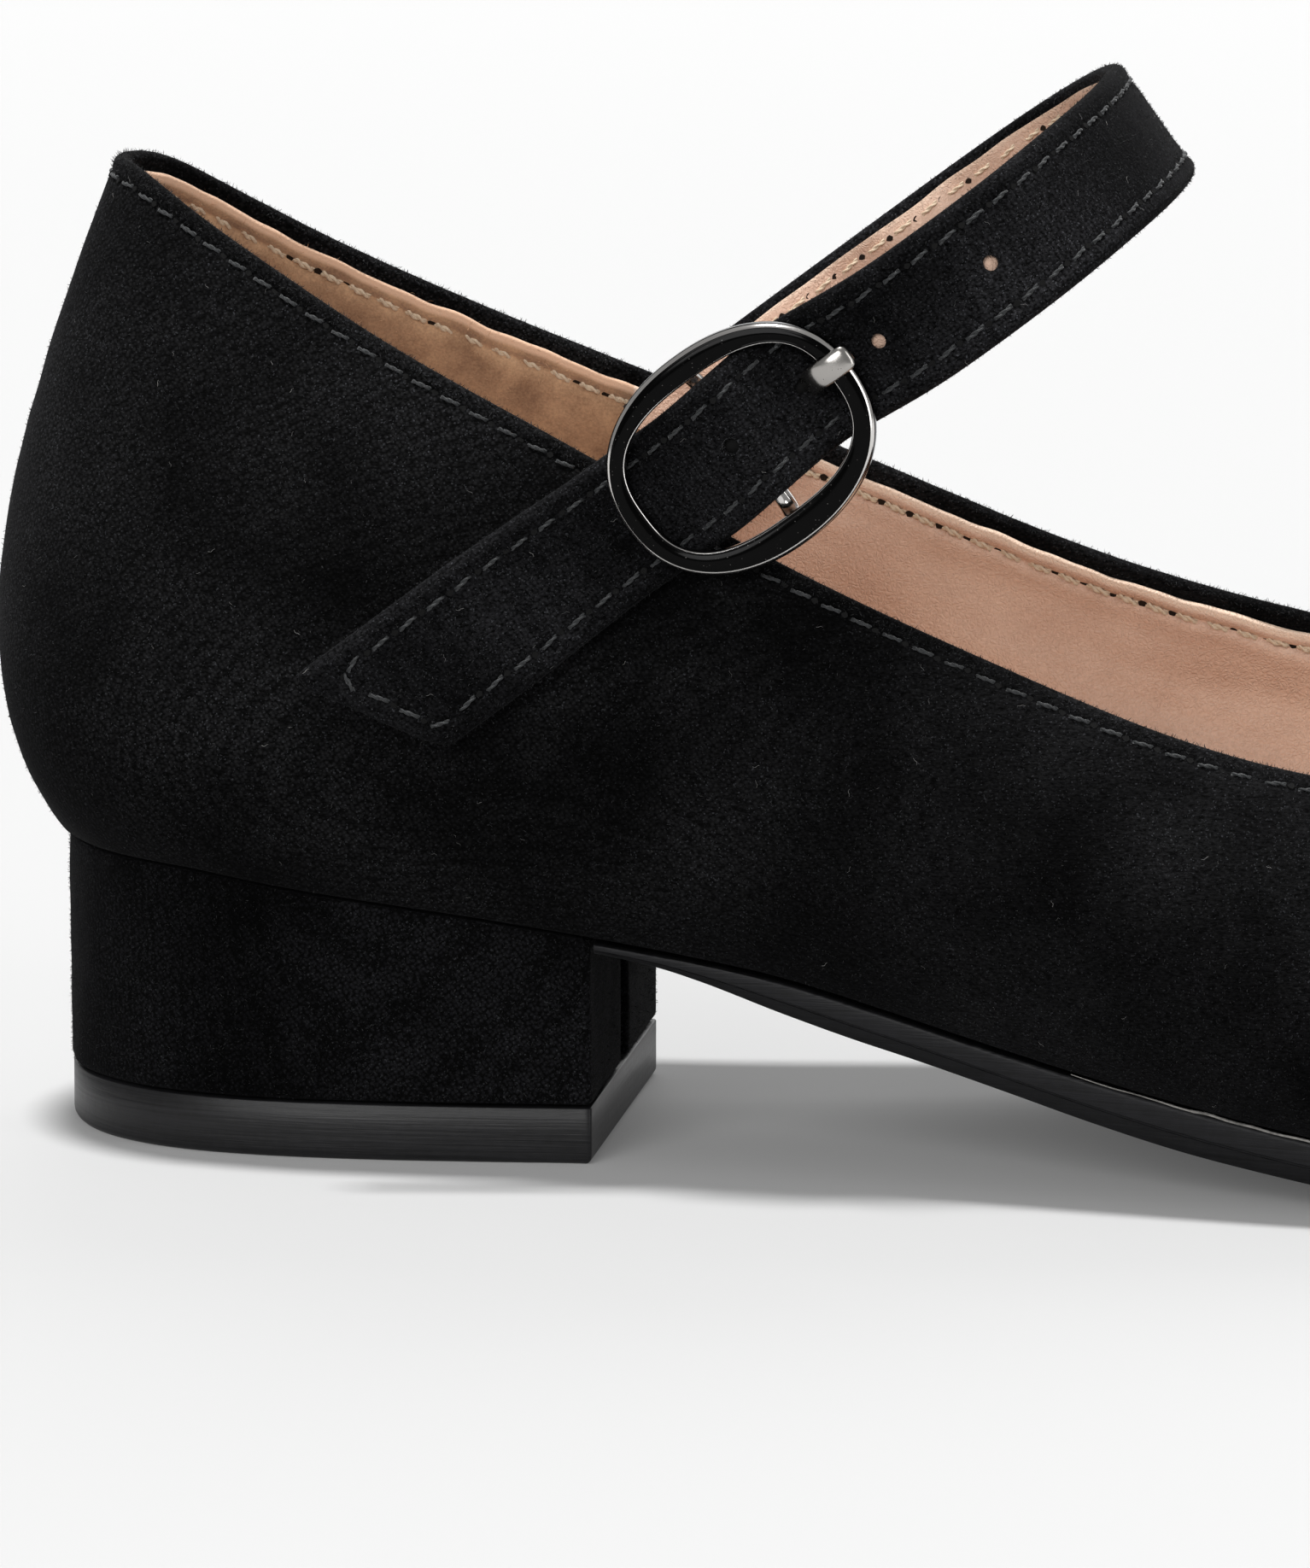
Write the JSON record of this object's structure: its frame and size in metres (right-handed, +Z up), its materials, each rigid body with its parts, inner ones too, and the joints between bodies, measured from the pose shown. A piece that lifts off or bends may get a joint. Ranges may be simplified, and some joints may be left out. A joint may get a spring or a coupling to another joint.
{
  "type": "low block heel mary jane shoe",
  "caption": "Right Mary Jane shoe in black suede with a low covered block heel, an open collar and a buckled instep strap.",
  "frame": {"origin": "middle of the heel's flat resting face, on the floor", "axes": "+X to the toe, +Y to the inner (medial) side, +Z up from the floor"},
  "size_m": [0.2457, 0.0861, 0.1113],
  "materials": {
    "suede": "matte black napped suede",
    "sock": "satin tan leather",
    "sole": "satin black rubber",
    "lift": "dark satin plastic",
    "buckle": "polished dark nickel",
    "elastic": "matte black elastic"
  },
  "bodies": {
    "root": {"upper": "suede", "insole": "sock", "outsole": "sole", "heel_block": "suede", "top_lift": "lift", "strap": "suede", "buckle_frame": "buckle", "buckle_prong": "buckle", "buckle_tab": "elastic"}
  },
  "joints": []
}
